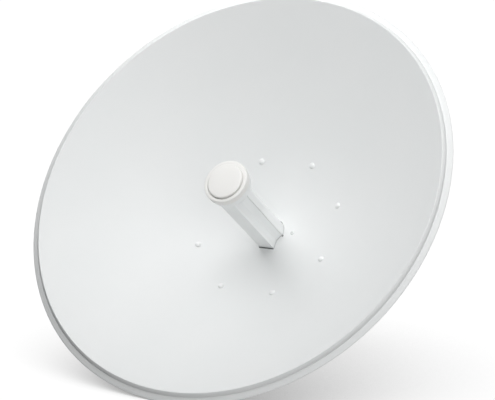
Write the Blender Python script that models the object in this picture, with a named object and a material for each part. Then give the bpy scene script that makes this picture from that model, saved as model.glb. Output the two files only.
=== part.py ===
"""A wireless dish antenna on its elevation yoke and pole bracket.

The row's origin is the middle of the pole bracket's flat back face. +Y points from that face to the
pole, +Z runs up the pole, and the dish looks towards -Y, tipped up by ELEVATION.

Pieces of the dish are modelled in the dish's own axes: X to the right, Y up across the rim, and Z out
along the boresight, with zero at the reflector's vertex. The empty "dish_axes" carries them into place.
All sizes below are in millimetres, and MM turns them into metres.
"""
import math

import bmesh
import bpy
from mathutils import Matrix, Vector

MM = 0.001
GAP = 0.3                        # air between pieces that touch
ELEVATION = 35.2                 # degrees from level to the boresight

# The reflector
RIM_R = 324.7                    # outer edge of the turned-down rim
LIP_R = 309.7                    # front edge of the curved surface
FOCUS = 160.0                    # focal length of the paraboloid
SHEET = 1.0
RIM_SEGMENTS = 64
RIVET_RING_R = 112.4
RIVET_COUNT = 8
RIVET_HEAD_R = 4.4
RIVET_HEAD_H = 2.5
RIVET_SHANK_R = 2.0
HOLE_PLAY = 0.3                  # a hole's radius over its shank's
DISH_SCREW_X = 35.0
DISH_SCREW_R = 1.6
EDGE_DROP = 6.6                  # from the lip's plane back to the turned edge's end

# The feed
FEED_CENTRE_Y = -1.5             # the cap's middle, below the boresight
TUBE_HALF_WIDTH = 12.3           # boxy lower shell
TUBE_BOTTOM_Y = -27.3
TUBE_FLARE_Y = -14.3
TUBE_SHOULDER = (17.8, -5.2)     # where the lower shell's flare ends
UPPER_R = 19.3                   # round upper shell
UPPER_FLAT = 14.0                # degrees up to which its sides stay flat
UPPER_SEAM_Y = -4.5
TUBE_TOP_Z = 140.0
TUBE_FOOT_Z = -18.0
SLOT_PLAY = 1.0                  # air round the feed where it passes the reflector
STRIP_SIZE = (9.4, 60.0, 0.8)    # raised strip on the feed's right side
STRIP_MIDDLE_Z = 98.0
CAP_R = 33.2
CAP_FRONT_Z = 163.5
CAP_BACK_Z = 155.0
DISC_R = 26.3
DISC_FRONT_Z = 166.6
DISC_THICK = 3.6

# The back plate and the radio housing
PLATE_THICK = 2.0
PLATE_RIM_R = 128.0
PLATE_FLAT_R = 86.0
PLATE_FLAT_Z = -20.0             # front face of its flat middle
PLATE_BORE_R = 43.0
SOCKET_R = 42.0
HOUSING_SIZE = (60.0, 112.0, 40.0)
HOUSING_CENTRE_Y = -6.0

# The elevation yoke, in the dish's axes
YOKE_INNER_X = 42.0
YOKE_THICK = 3.0
YOKE_FLANGE_X = 72.0
YOKE_HALF_H = 38.0
YOKE_SCREW = (59.0, 27.0)
PIVOT_Z = -80.0
PIVOT_R = 22.0                   # rounded end round the pivot
LOCK_REACH = 35.0                # lock bolt's distance from the pivot
M8_R = 4.0
M6_R = 3.0

# The pole bracket, in the row's own axes
PIVOT_Y = -60.0
PIVOT_HEIGHT = -25.0
WEB_HALF_W = 70.0
WEB_HALF_H = 60.0
WEB_THICK = 3.0
CHEEK_ARC_R = 47.0
SLOT_FROM = -5.0                 # degrees of elevation that the slot allows
SLOT_TO = 58.0
JAW_DEPTH = 24.0
JAW_HALF_W = 44.0
JAW_MOUTH_HALF_W = 30.0
JAW_FLOOR_HALF_W = 7.0
JAW_FLOOR_Y = 8.0
CLAMP_BOLT = (59.0, 38.0)
POLE_MIDDLE_Y = 39.7             # a 60 mm pole, drawn in the jaws
CLAMP_BOLT_LENGTH = 120.0

CHEEK_INNER_X = YOKE_INNER_X + YOKE_THICK + GAP
CLAMP_WEB_Y = 2 * POLE_MIDDLE_Y

# An outline's own X, Y and the way it is drawn out go to these axes
ALONG_Y = Matrix(((1, 0, 0, 0), (0, 0, 1, 0), (0, 1, 0, 0), (0, 0, 0, 1)))
ALONG_X = Matrix(((0, 0, 1, 0), (1, 0, 0, 0), (0, 1, 0, 0), (0, 0, 0, 1)))

COLOURS = {
    "painted": ((0.80, 0.82, 0.82), 0.42, 0.0),
    "plastic": ((0.83, 0.83, 0.81), 0.38, 0.0),
    "zinc": ((0.62, 0.63, 0.64), 0.35, 1.0),
}


def clear_scene():
    for old in list(bpy.data.objects):
        bpy.data.objects.remove(old, do_unlink=True)


def material(finish, name):
    """A Principled material of the given finish."""
    colour, roughness, metallic = COLOURS[finish]
    made = bpy.data.materials.new(name)
    made.use_nodes = True
    shader = made.node_tree.nodes["Principled BSDF"]
    shader.inputs["Base Color"].default_value = (*colour, 1.0)
    shader.inputs["Roughness"].default_value = roughness
    shader.inputs["Metallic"].default_value = metallic
    return made


def finish_object(name, shape, finish, parent=None, smooth=True):
    """Turn a bmesh in millimetres into a named object in metres."""
    bmesh.ops.scale(shape, vec=(MM, MM, MM), verts=shape.verts)
    bmesh.ops.recalc_face_normals(shape, faces=shape.faces)
    mesh = bpy.data.meshes.new(name)
    shape.to_mesh(mesh)
    shape.free()
    if smooth:
        mesh.shade_smooth()
        mesh.set_sharp_from_angle(angle=math.radians(30))
    made = bpy.data.objects.new(name, mesh)
    bpy.context.scene.collection.objects.link(made)
    made.data.materials.append(material(finish, name + "_finish"))
    made.parent = parent
    return made


def turned(profile, segments):
    """Spin a closed outline of (radius, height) points about Z."""
    shape = bmesh.new()
    corners = [shape.verts.new((r, 0.0, z)) for r, z in profile]
    edges = [shape.edges.new((a, b)) for a, b in zip(corners, corners[1:] + corners[:1])]
    axis_edges = [e for e in edges if all(abs(v.co.x) < 1e-9 for v in e.verts)]
    bmesh.ops.delete(shape, geom=axis_edges, context="EDGES_FACES")
    bmesh.ops.spin(
        shape, geom=shape.verts[:] + shape.edges[:], axis=(0, 0, 1), cent=(0, 0, 0),
        angle=math.tau, steps=segments, use_merge=True,
    )
    bmesh.ops.remove_doubles(shape, verts=shape.verts, dist=1e-4)
    return shape


def prism(outline, low, high):
    """A flat outline in X and Y, drawn out along Z from low to high."""
    shape = bmesh.new()
    face = shape.faces.new([shape.verts.new((x, y, low)) for x, y in outline])
    grown = bmesh.ops.extrude_face_region(shape, geom=[face])["geom"]
    moved = [v for v in grown if isinstance(v, bmesh.types.BMVert)]
    bmesh.ops.translate(shape, vec=(0, 0, high - low), verts=moved)
    return shape


def turn(shape, matrix):
    bmesh.ops.transform(shape, matrix=matrix, verts=shape.verts)
    return shape


def arc(centre, radius, start, stop, steps):
    """Points on an arc, its angles in degrees."""
    points = []
    for i in range(steps + 1):
        angle = math.radians(start + (stop - start) * i / steps)
        points.append((centre[0] + radius * math.cos(angle), centre[1] + radius * math.sin(angle)))
    return points


def circle(radius, sides, centre=(0.0, 0.0), turned_by=0.0):
    return arc(centre, radius, turned_by, turned_by + 360 * (sides - 1) / sides, sides - 1)


def rounded_rectangle(width, height, radius, steps=5, centre=(0.0, 0.0)):
    points = []
    x = width / 2 - radius
    y = height / 2 - radius
    for cx, cy, start in ((x, y, 0), (-x, y, 90), (-x, -y, 180), (x, -y, 270)):
        points += arc((centre[0] + cx, centre[1] + cy), radius, start, start + 90, steps)
    return points


def cutter(name, shape, parent=None):
    """A hidden solid for Booleans."""
    made = finish_object(name, shape, "zinc", parent, smooth=False)
    made.hide_render = True
    made.display_type = "WIRE"
    return made


def boolean(target, tool, operation="DIFFERENCE"):
    step = target.modifiers.new(operation.lower() + "_" + tool.name, "BOOLEAN")
    step.operation = operation
    step.solver = "EXACT"
    step.object = tool


def gather(shapes):
    """Several separate shapes in one bmesh."""
    whole = bmesh.new()
    for shape in shapes:
        scratch = bpy.data.meshes.new("scratch")
        shape.to_mesh(scratch)
        shape.free()
        whole.from_mesh(scratch)
        bpy.data.meshes.remove(scratch)
    return whole


def bowl_z(radius):
    """Height of the reflecting surface above the vertex."""
    return radius * radius / (4 * FOCUS)


def behind_bowl(radius, depth):
    """The point that lies depth behind the reflecting surface at a radius, square to it."""
    slope = math.atan(radius / (2 * FOCUS))
    return radius + depth * math.sin(slope), bowl_z(radius) - depth * math.cos(slope)


def on_bowl(x, y):
    """A matrix that stands a piece on the reflecting surface at x, y, square to it."""
    radius = math.hypot(x, y)
    normal = Vector((-x, -y, 2 * FOCUS)).normalized()
    return Matrix.Translation((x, y, bowl_z(radius))) @ normal.to_track_quat("Z", "Y").to_matrix().to_4x4()


def rivet_places():
    for i in range(RIVET_COUNT):
        angle = math.radians(112.5 - 45 * i)
        yield RIVET_RING_R * math.cos(angle), RIVET_RING_R * math.sin(angle)


def feed_outline(play=0.0):
    """Outline of the whole feed across the boresight, grown by the play round it."""
    half = TUBE_HALF_WIDTH + play
    shoulder_x, shoulder_y = TUBE_SHOULDER
    right = [
        (half, TUBE_BOTTOM_Y - play),
        (half, TUBE_FLARE_Y - play / 2),
        (shoulder_x + play, shoulder_y - play),
        (UPPER_R + play, UPPER_SEAM_Y - play),
    ]
    top = arc((0, 0), UPPER_R + play, UPPER_FLAT, 180 - UPPER_FLAT, 10)
    left = [(-x, y) for x, y in reversed(right)]
    return right + top + left


def reflector_profile():
    """The pressed sheet from its middle to its rim, front side out and back side home."""
    inner = [10, DISH_SCREW_X, (DISH_SCREW_X + RIVET_RING_R) / 2, RIVET_RING_R]
    outer = [RIVET_RING_R + (LIP_R - RIVET_RING_R) * i / 6 for i in range(1, 7)]
    radii = inner + outer
    lip_z = bowl_z(LIP_R)
    front = [(r, bowl_z(r)) for r in radii]
    rim_front = [
        (LIP_R + 0.9, lip_z + 0.85),
        (LIP_R + 2.2, lip_z + 1.3),
        (LIP_R + 3.5, lip_z + 0.2),
        (LIP_R + 5.2, lip_z - 0.3),
        (LIP_R + 6.4, lip_z - 2.8),
        (LIP_R + 7.4, lip_z - 2.9),
        (RIM_R - 1.1, lip_z - 5.1),
        (RIM_R, lip_z - 6.0),
        (RIM_R - 0.2, lip_z - EDGE_DROP),
    ]
    rim_back = [
        (RIM_R - 1.3, lip_z - EDGE_DROP),
        (RIM_R - 1.6, lip_z - 6.2),
        (LIP_R + 7.1, lip_z - 4.0),
        (LIP_R + 5.7, lip_z - 3.7),
        (LIP_R + 4.6, lip_z - 1.3),
        (LIP_R + 2.2, lip_z - 0.1),
    ]
    back = [behind_bowl(r, SHEET) for r in reversed(radii[:-1])]
    return front + rim_front + rim_back + back


def build_reflector(dish):
    reflector = finish_object("reflector", turned(reflector_profile(), RIM_SEGMENTS), "painted", dish)
    slot = prism(feed_outline(SLOT_PLAY), -10, 20)
    boolean(reflector, cutter("cut_feed_slot", slot, dish))
    holes = [
        turn(prism(circle(RIVET_SHANK_R + HOLE_PLAY, 10), -12, 6), on_bowl(x, y))
        for x, y in rivet_places()
    ]
    holes.append(turn(prism(circle(DISH_SCREW_R + HOLE_PLAY, 10), -8, 4), on_bowl(DISH_SCREW_X, 0)))
    holes = cutter("cut_rivet_holes", gather(holes), dish)
    boolean(reflector, holes)
    return holes


def build_rivets(dish):
    """Domed heads in front, a shank through both sheets and a flat tail behind."""
    grip = SHEET + GAP + PLATE_THICK + 0.1
    dome = [
        (RIVET_HEAD_R * math.cos(a), GAP + RIVET_HEAD_H * math.sin(a))
        for a in (math.radians(d) for d in (0, 35, 65))
    ]
    profile = [(RIVET_SHANK_R, GAP)] + dome + [
        (0.0, GAP + RIVET_HEAD_H),
        (0.0, -grip - GAP - 1.6),
        (3.2, -grip - GAP - 1.6),
        (3.4, -grip - GAP),
        (RIVET_SHANK_R, -grip - GAP),
    ]
    for i, (x, y) in enumerate(rivet_places(), 1):
        shape = turn(turned(profile, 10), on_bowl(x, y))
        finish_object(f"dish_rivet_{i}", shape, "painted", dish)


def build_dish_screw(dish):
    """Pan-head screw that holds the feed's socket behind the reflector."""
    profile = [
        (DISH_SCREW_R, GAP), (3.0, GAP), (3.0, GAP + 1.0), (2.2, GAP + 1.9),
        (0.0, GAP + 2.2), (0.0, -12.0), (1.0, -12.0), (DISH_SCREW_R, -11.0),
    ]
    finish_object("dish_screw", turn(turned(profile, 10), on_bowl(DISH_SCREW_X, 0)), "zinc", dish)


def build_feed(dish):
    shoulder_x, shoulder_y = TUBE_SHOULDER
    lower = [
        (TUBE_HALF_WIDTH, TUBE_BOTTOM_Y), (TUBE_HALF_WIDTH, TUBE_FLARE_Y), (shoulder_x, shoulder_y),
        (shoulder_x - 1.2, UPPER_SEAM_Y - GAP),
    ]
    lower += [(-x, y) for x, y in reversed(lower)]
    finish_object("feed_lower_shell", prism(lower, TUBE_FOOT_Z, TUBE_TOP_Z), "plastic", dish)
    top = arc((0, 0), UPPER_R, UPPER_FLAT, 180 - UPPER_FLAT, 16)
    upper = [(UPPER_R, UPPER_SEAM_Y)] + top + [(-UPPER_R, UPPER_SEAM_Y)]
    finish_object("feed_upper_shell", prism(upper, TUBE_FOOT_Z, TUBE_TOP_Z), "plastic", dish)
    height, length, proud = STRIP_SIZE
    strip = prism(rounded_rectangle(height, length, 1.5, 3), UPPER_R + GAP, UPPER_R + GAP + proud)
    strip = turn(strip, Matrix.Translation((0, 0, STRIP_MIDDLE_Z)) @ ALONG_X)
    finish_object("feed_status_strip", strip, "plastic", dish)
    build_cap(dish)


def build_cap(dish):
    """Round neck, ring and disc on the end of the feed."""
    middle = Matrix.Translation((0, FEED_CENTRE_Y, 0))
    neck = [
        (0.0, TUBE_TOP_Z + GAP), (27.6, TUBE_TOP_Z + GAP), (30.2, TUBE_TOP_Z + 2.5),
        (31.6, TUBE_TOP_Z + 7), (32.5, CAP_BACK_Z - 2.5), (32.8, CAP_BACK_Z - GAP),
        (0.0, CAP_BACK_Z - GAP),
    ]
    finish_object("feed_neck", turn(turned(neck, 32), middle), "plastic", dish)
    disc_back = DISC_FRONT_Z - DISC_THICK
    seat = disc_back - GAP
    ring = [
        (0.0, CAP_BACK_Z), (CAP_R - 0.3, CAP_BACK_Z), (CAP_R, CAP_BACK_Z + 1),
        (CAP_R, CAP_FRONT_Z - 3.0), (CAP_R - 0.9, CAP_FRONT_Z - 0.9), (CAP_R - 2.6, CAP_FRONT_Z),
        (DISC_R + 2.2, CAP_FRONT_Z - 0.4), (DISC_R + 1.2, seat - 1.5), (DISC_R - 3.0, seat - 1.5),
        (DISC_R - 4.0, seat), (0.0, seat),
    ]
    finish_object("feed_cap_ring", turn(turned(ring, 32), middle), "plastic", dish)
    disc = [
        (0.0, disc_back), (DISC_R - 0.6, disc_back), (DISC_R, disc_back + 0.7),
        (DISC_R, DISC_FRONT_Z - 1.0), (DISC_R - 1.0, DISC_FRONT_Z), (0.0, DISC_FRONT_Z),
    ]
    finish_object("feed_cap_disc", turn(turned(disc, 32), middle), "plastic", dish)


def build_socket(dish):
    """Plastic socket behind the reflector, bored for the feed and the small screw."""
    front = [behind_bowl(r, SHEET + GAP + 0.1) for r in (10, 26, SOCKET_R)]
    back_z = PLATE_FLAT_Z - PLATE_THICK - GAP
    profile = front + [(SOCKET_R, back_z + GAP), (10, back_z + GAP)]
    socket = finish_object("feed_socket", turned(profile, 32), "plastic", dish)
    boolean(socket, cutter("cut_socket_bore", prism(feed_outline(0.5), -40, 10), dish))
    hole = turn(prism(circle(DISH_SCREW_R + HOLE_PLAY, 10), -14, 4), on_bowl(DISH_SCREW_X, 0))
    boolean(socket, cutter("cut_socket_screw", hole, dish))


def build_back_plate(dish, rivet_holes):
    """Pressed pan: a curved rim riveted to the reflector and a flat middle for yoke and radio."""
    depth = SHEET + GAP + 0.1
    rim_radii = (98, 113, PLATE_RIM_R)
    flat_back = PLATE_FLAT_Z - PLATE_THICK
    profile = [behind_bowl(r, depth) for r in rim_radii]
    profile += [behind_bowl(r, depth + PLATE_THICK) for r in reversed(rim_radii)]
    profile += [
        (PLATE_FLAT_R + 1.5, flat_back), (PLATE_BORE_R, flat_back),
        (PLATE_BORE_R, PLATE_FLAT_Z), (PLATE_FLAT_R, PLATE_FLAT_Z),
    ]
    plate = finish_object("back_plate", turned(profile, 40), "painted", dish)
    places = [(sx * YOKE_SCREW[0], sy * YOKE_SCREW[1]) for sx in (1, -1) for sy in (1, -1)]
    nuts = [prism(circle(6.0, 6, place), PLATE_FLAT_Z - 1, PLATE_FLAT_Z + 5) for place in places]
    boolean(plate, cutter("add_clinch_nuts", gather(nuts), dish), "UNION")
    holes = [prism(circle(M6_R + HOLE_PLAY, 12, place), flat_back - 5, PLATE_FLAT_Z + 9) for place in places]
    boolean(plate, cutter("cut_yoke_holes", gather(holes), dish))
    boolean(plate, rivet_holes)


def build_radio(dish):
    """Radio housing behind the plate, with the cover over its cable port."""
    width, height, depth = HOUSING_SIZE
    front = PLATE_FLAT_Z - PLATE_THICK - 2 * GAP
    shape = prism(rounded_rectangle(width, height, 12, 3, (0, HOUSING_CENTRE_Y)), front - depth, front)
    rear = [e for e in shape.edges if all(v.co.z < front - depth + 0.01 for v in e.verts)]
    bmesh.ops.bevel(shape, geom=rear, offset=5, segments=2, affect="EDGES", profile=0.5)
    housing = finish_object("radio_housing", shape, "plastic", dish)
    bottom = HOUSING_CENTRE_Y - height / 2
    seat = prism(rounded_rectangle(34, 7, 0.5, 1, (0, bottom)), front - 26, front - 8)
    boolean(housing, cutter("cut_cover_seat", seat, dish))
    cover = prism(rounded_rectangle(33.4, 3.4, 1.2, 2, (0, bottom + 1.5)), front - 25.7, front - 8.3)
    finish_object("port_cover", cover, "plastic", dish)


def build_yoke(dish):
    """Two angle brackets: a flange on the back plate and a cheek with the pivot and lock holes."""
    front = PLATE_FLAT_Z - PLATE_THICK - GAP
    for side, sign in (("right", 1), ("left", -1)):
        inner = sign * YOKE_INNER_X
        outer = sign * (YOKE_INNER_X + YOKE_THICK)
        edge = sign * YOKE_FLANGE_X
        cheek = [(front, YOKE_HALF_H - 6), (front, -YOKE_HALF_H + 6)]
        cheek += [(PIVOT_Z + 12, -PIVOT_R)] + arc((PIVOT_Z, 0), PIVOT_R, 270, 90, 10)
        cheek += [(PIVOT_Z + 12, PIVOT_R)]
        shape = prism(cheek, min(inner, outer), max(inner, outer))
        # the cheek's outline is drawn in Z and Y, and drawn out along X
        shape = turn(shape, Matrix(((0, 0, 1, 0), (0, 1, 0, 0), (1, 0, 0, 0), (0, 0, 0, 1))))
        yoke = finish_object(f"yoke_{side}", shape, "zinc", dish)
        flange = rounded_rectangle(abs(edge - inner), 2 * YOKE_HALF_H, 5, 3, ((edge + inner) / 2, 0))
        flange = prism(flange, front - YOKE_THICK, front)
        boolean(yoke, cutter(f"add_flange_{side}", flange, dish), "UNION")
        holes = [
            prism(circle(M6_R + HOLE_PLAY, 12, (sign * YOKE_SCREW[0], sy * YOKE_SCREW[1])), front - 9, front + 4)
            for sy in (1, -1)
        ]
        for z in (PIVOT_Z, PIVOT_Z + LOCK_REACH):
            hole = turn(prism(circle(M8_R + HOLE_PLAY, 12), -6, 6), Matrix.Rotation(math.radians(90), 4, "Y"))
            holes.append(turn(hole, Matrix.Translation(((inner + outer) / 2, 0, z))))
        boolean(yoke, cutter(f"cut_yoke_{side}", gather(holes), dish))
    build_yoke_screws(dish, front)


def build_yoke_screws(dish, front):
    """Flanged hex screws that pull the yoke's flanges to the back plate's nuts."""
    places = [(sx * YOKE_SCREW[0], sy * YOKE_SCREW[1]) for sx in (1, -1) for sy in (1, -1)]
    seat = front - YOKE_THICK - GAP
    for i, (x, y) in enumerate(places, 1):
        shape = hex_screw(M6_R, 5.0, 5.0, 7.0, 26.0)
        finish_object(f"yoke_screw_{i}", turn(shape, Matrix.Translation((x, y, seat))), "zinc", dish)


def star(radius, sides=0):
    """Twelve points round a circle, or round a polygon of so many sides with that corner radius."""
    points = []
    for i in range(12):
        angle = math.tau * i / 12
        reach = radius
        if sides:
            half = math.pi / sides
            reach = radius * math.cos(half) / math.cos((angle % (2 * half)) - half)
        points.append((reach * math.cos(angle), reach * math.sin(angle)))
    return points


def stacked(rings, hollow=False):
    """Skin a stack of (points, height) rings; a hollow stack runs up outside and home inside."""
    shape = bmesh.new()
    rows = [[shape.verts.new((x, y, z)) for x, y in points] for points, z in rings]
    pairs = list(zip(rows, rows[1:] + rows[:1])) if hollow else list(zip(rows, rows[1:]))
    for below, above in pairs:
        count = len(below)
        for i in range(count):
            j = (i + 1) % count
            shape.faces.new((below[i], below[j], above[j], above[i]))
    if not hollow:
        shape.faces.new(rows[0])
        shape.faces.new(rows[-1])
    return shape


def hex_screw(shank_r, hex_r, head_h, flange_r, length):
    """A flanged hex screw: its seat at zero, its shank up along Z and its head below."""
    return stacked([
        (star(hex_r - 0.8), -1.5 - head_h),
        (star(hex_r, 6), -0.9 - head_h),
        (star(hex_r, 6), -1.5),
        (star(flange_r - 0.5), -1.2),
        (star(flange_r), 0),
        (star(shank_r), 0),
        (star(shank_r), length - 1),
        (star(shank_r - 0.8), length),
    ])


def flange_nut(bore_r, hex_r, height, flange_r):
    """A flanged hex nut standing on zero."""
    bore = bore_r + HOLE_PLAY
    return stacked([
        (star(bore), 0),
        (star(flange_r), 0),
        (star(flange_r - 0.5), 1.3),
        (star(hex_r, 6), 1.6),
        (star(hex_r, 6), height - 0.5),
        (star(hex_r - 0.9), height),
        (star(bore), height),
    ], hollow=True)


def carriage_bolt(shank_r, head_r, length):
    """A carriage bolt: the underside of its domed head at zero, its shank up along Z."""
    return stacked([
        (star(head_r * 0.35), -4.4),
        (star(head_r * 0.75), -3.4),
        (star(head_r), -1.0),
        (star(head_r), 0),
        (star(shank_r), 0),
        (star(shank_r), length - 1.2),
        (star(shank_r - 1.0), length),
    ])


def side_hole(radius, x, y, z, reach):
    """A round cutter along X."""
    hole = turn(prism(circle(radius, 16), -reach, reach), Matrix.Rotation(math.radians(90), 4, "Y"))
    return turn(hole, Matrix.Translation((x, y, z)))


def build_pole_bracket():
    """A flat web, two cheeks with the elevation slots, and two jaws that bite the pole."""
    web = rounded_rectangle(2 * WEB_HALF_W, 2 * WEB_HALF_H, 6, 3)
    bracket = finish_object("pole_bracket", turn(prism(web, -WEB_THICK, 0), ALONG_Y), "zinc")
    adds = []
    for sign in (1, -1):
        inner = sign * CHEEK_INNER_X
        outer = sign * (CHEEK_INNER_X + YOKE_THICK)
        cheek = [(-1.0, -WEB_HALF_H + 8), (-1.0, WEB_HALF_H - 12), (-12, WEB_HALF_H - 16)]
        cheek += arc((PIVOT_Y, PIVOT_HEIGHT), CHEEK_ARC_R, 112, 200, 10)
        cheek += [(PIVOT_Y + 4, PIVOT_HEIGHT - 24)]
        adds.append(turn(prism(cheek, min(inner, outer), max(inner, outer)), ALONG_X))
    for sign in (1, -1):
        low, high = sorted((sign * WEB_HALF_H, sign * (WEB_HALF_H - WEB_THICK)))
        adds.append(prism(jaw_outline(-1.0, JAW_DEPTH), low, high))
    boolean(bracket, cutter("add_cheeks_and_jaws", gather(adds)), "UNION")
    cuts = []
    for x, z in clamp_places():
        cuts.append(turn(prism(circle(M8_R + HOLE_PLAY, 16, (x, z)), -WEB_THICK - 4, 4), ALONG_Y))
    for sign in (1, -1):
        x = sign * (CHEEK_INNER_X + YOKE_THICK / 2)
        cuts.append(side_hole(M8_R + HOLE_PLAY, x, PIVOT_Y, PIVOT_HEIGHT, 6))
        slot = slot_outline(M8_R + HOLE_PLAY)
        cuts.append(turn(prism(slot, x - 6, x + 6), ALONG_X))
    boolean(bracket, cutter("cut_bracket_holes", gather(cuts)))


def slot_outline(half_width):
    """The arc slot in a cheek: elevation is measured from -Y up, round the pivot."""
    start, stop = 180 - SLOT_TO, 180 - SLOT_FROM
    centre = (PIVOT_Y, PIVOT_HEIGHT)
    ends = []
    for angle in (start, stop):
        a = math.radians(angle)
        ends.append((centre[0] + LOCK_REACH * math.cos(a), centre[1] + LOCK_REACH * math.sin(a)))
    outline = arc(centre, LOCK_REACH + half_width, start, stop, 10)
    outline += arc(ends[1], half_width, stop, stop + 180, 6)[1:-1]
    outline += arc(centre, LOCK_REACH - half_width, stop, start, 10)
    outline += arc(ends[0], half_width, start + 180, start + 360, 6)[1:-1]
    return outline


def jaw_outline(back, tip):
    """A jaw plate in X and Y with its notch at the tip side."""
    toward = 1 if tip > back else -1
    floor = tip - toward * (JAW_DEPTH - JAW_FLOOR_Y)
    return [
        (-JAW_HALF_W, back), (-JAW_HALF_W, tip), (-JAW_MOUTH_HALF_W, tip), (-JAW_FLOOR_HALF_W, floor),
        (JAW_FLOOR_HALF_W, floor), (JAW_MOUTH_HALF_W, tip), (JAW_HALF_W, tip), (JAW_HALF_W, back),
    ]


def clamp_places():
    return [(sx * CLAMP_BOLT[0], sz * CLAMP_BOLT[1]) for sz in (1, -1) for sx in (1, -1)]


def build_pole_clamp():
    """The far half of the pole clamp, its bolts and their nuts."""
    web = rounded_rectangle(2 * WEB_HALF_W, 2 * WEB_HALF_H, 6, 3)
    shape = turn(prism(web, CLAMP_WEB_Y, CLAMP_WEB_Y + WEB_THICK), ALONG_Y)
    clamp = finish_object("pole_clamp", shape, "zinc")
    jaws = []
    for sign in (1, -1):
        low, high = sorted((sign * WEB_HALF_H, sign * (WEB_HALF_H - WEB_THICK)))
        jaws.append(prism(jaw_outline(CLAMP_WEB_Y + 1.0, CLAMP_WEB_Y - JAW_DEPTH), low, high))
    boolean(clamp, cutter("add_clamp_jaws", gather(jaws)), "UNION")
    holes = [
        turn(prism(circle(M8_R + HOLE_PLAY, 16, place), CLAMP_WEB_Y - 4, CLAMP_WEB_Y + 8), ALONG_Y)
        for place in clamp_places()
    ]
    boolean(clamp, cutter("cut_clamp_holes", gather(holes)))
    along_y = Matrix.Rotation(math.radians(-90), 4, "X")
    for i, (x, z) in enumerate(clamp_places(), 1):
        seat = Matrix.Translation((x, -WEB_THICK - GAP, z))
        bolt = carriage_bolt(M8_R, 9.5, CLAMP_BOLT_LENGTH)
        finish_object(f"clamp_bolt_{i}", turn(bolt, seat @ along_y), "zinc")
        seat = Matrix.Translation((x, CLAMP_WEB_Y + WEB_THICK + GAP, z))
        nut = flange_nut(M8_R, 7.5, 8.0, 9.0)
        finish_object(f"clamp_nut_{i}", turn(nut, seat @ along_y), "zinc")


def build_pivots():
    """Pivot and lock bolts: heads outside the cheeks, nuts inside the yoke."""
    reach = math.radians(ELEVATION)
    places = {
        "pivot": (PIVOT_Y, PIVOT_HEIGHT),
        "lock": (PIVOT_Y - LOCK_REACH * math.cos(reach), PIVOT_HEIGHT + LOCK_REACH * math.sin(reach)),
    }
    for name, (y, z) in places.items():
        for side, sign in (("right", 1), ("left", -1)):
            inward = Matrix.Rotation(math.radians(-90 * sign), 4, "Y")
            head_x = sign * (CHEEK_INNER_X + YOKE_THICK + GAP)
            bolt = hex_screw(M8_R, 7.5, 5.5, 9.5, 16.0)
            seat = Matrix.Translation((head_x, y, z))
            finish_object(f"{name}_bolt_{side}", turn(bolt, seat @ inward), "zinc")
            nut = flange_nut(M8_R, 7.0, 6.5, 8.5)
            seat = Matrix.Translation((sign * (YOKE_INNER_X - GAP), y, z))
            finish_object(f"{name}_nut_{side}", turn(nut, seat @ inward), "zinc")


def main():
    clear_scene()
    dish = bpy.data.objects.new("dish_axes", None)
    bpy.context.scene.collection.objects.link(dish)
    reach = math.radians(ELEVATION)
    dish.location = (
        0.0,
        (PIVOT_Y + PIVOT_Z * math.cos(reach)) * MM,
        (PIVOT_HEIGHT - PIVOT_Z * math.sin(reach)) * MM,
    )
    dish.rotation_euler = (math.radians(90 - ELEVATION), 0.0, 0.0)
    rivet_holes = build_reflector(dish)
    build_rivets(dish)
    build_dish_screw(dish)
    build_feed(dish)
    build_socket(dish)
    build_back_plate(dish, rivet_holes)
    build_radio(dish)
    build_yoke(dish)
    build_pole_bracket()
    build_pole_clamp()
    build_pivots()


main()
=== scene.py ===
# %% [markdown]
# # A wireless dish antenna
# This file dresses a imported CAD model of a point-to-point radio antenna. On the real object a pressed
# and powder-coated steel dish throws the radio beam, and a slim plastic feed stands in its middle,
# pointing back at it. The CAD model already holds every part at its true size and place. Here each part
# gets the fine shape that light shows up, such as rolled edges, seams, threads and ribs, and a finish
# of its own.
#
# ## The fixed frame
# Their size and place are kept: each part's place is frozen into its own mesh, in one fixed frame.

# %% Load the imported model
import math

import bmesh
import bpy
from mathutils import Matrix, Vector


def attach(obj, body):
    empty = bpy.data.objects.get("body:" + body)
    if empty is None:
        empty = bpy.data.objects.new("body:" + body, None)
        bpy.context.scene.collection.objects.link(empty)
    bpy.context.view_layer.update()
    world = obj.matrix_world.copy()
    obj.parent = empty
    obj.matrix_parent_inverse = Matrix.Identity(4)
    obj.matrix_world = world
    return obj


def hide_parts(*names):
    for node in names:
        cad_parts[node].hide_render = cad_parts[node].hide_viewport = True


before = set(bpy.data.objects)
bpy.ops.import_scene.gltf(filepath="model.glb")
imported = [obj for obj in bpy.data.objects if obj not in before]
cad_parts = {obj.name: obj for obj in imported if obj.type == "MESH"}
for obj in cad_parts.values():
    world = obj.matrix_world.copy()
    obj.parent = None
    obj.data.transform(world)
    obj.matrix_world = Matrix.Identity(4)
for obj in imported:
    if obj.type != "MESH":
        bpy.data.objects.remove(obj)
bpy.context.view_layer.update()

print("CAD parts:", len(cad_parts))

# %% [markdown]
# ## Axes of the dish
# The antenna hangs on its pole bracket, and the dish looks up at an angle. It is far easier to model
# the dish flat on its back, with its beam straight up along Z, and to tip the finished piece. One
# matrix does that for every piece of the dish. Sizes are written in millimetres, as on a drawing.

# %% Sizes and the tipping matrix
MM = 0.001
ELEVATION = 35.2
PIVOT = Vector((0.0, -60.0, -25.0)) * MM
PIVOT_BEHIND_VERTEX = 80.0 * MM
FOCUS = 160.0
LIP_R = 309.7
RIVET_RING_R = 112.4
DISH_SCREW_X = 35.0

TIP = Matrix.Rotation(math.radians(90 - ELEVATION), 4, "X")
DISH = Matrix.Translation(PIVOT) @ TIP @ Matrix.Translation((0, 0, PIVOT_BEHIND_VERTEX))
print("vertex of the dish at", [round(c / MM, 2) for c in DISH.translation])

# %% [markdown]
# ## Working as by hand, without a window
# Blender's operators act on whatever is selected, and the imported parts arrive selected. So every step
# first clears the selection, picks one piece, and works on that. These small helpers keep it tidy.

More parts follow.
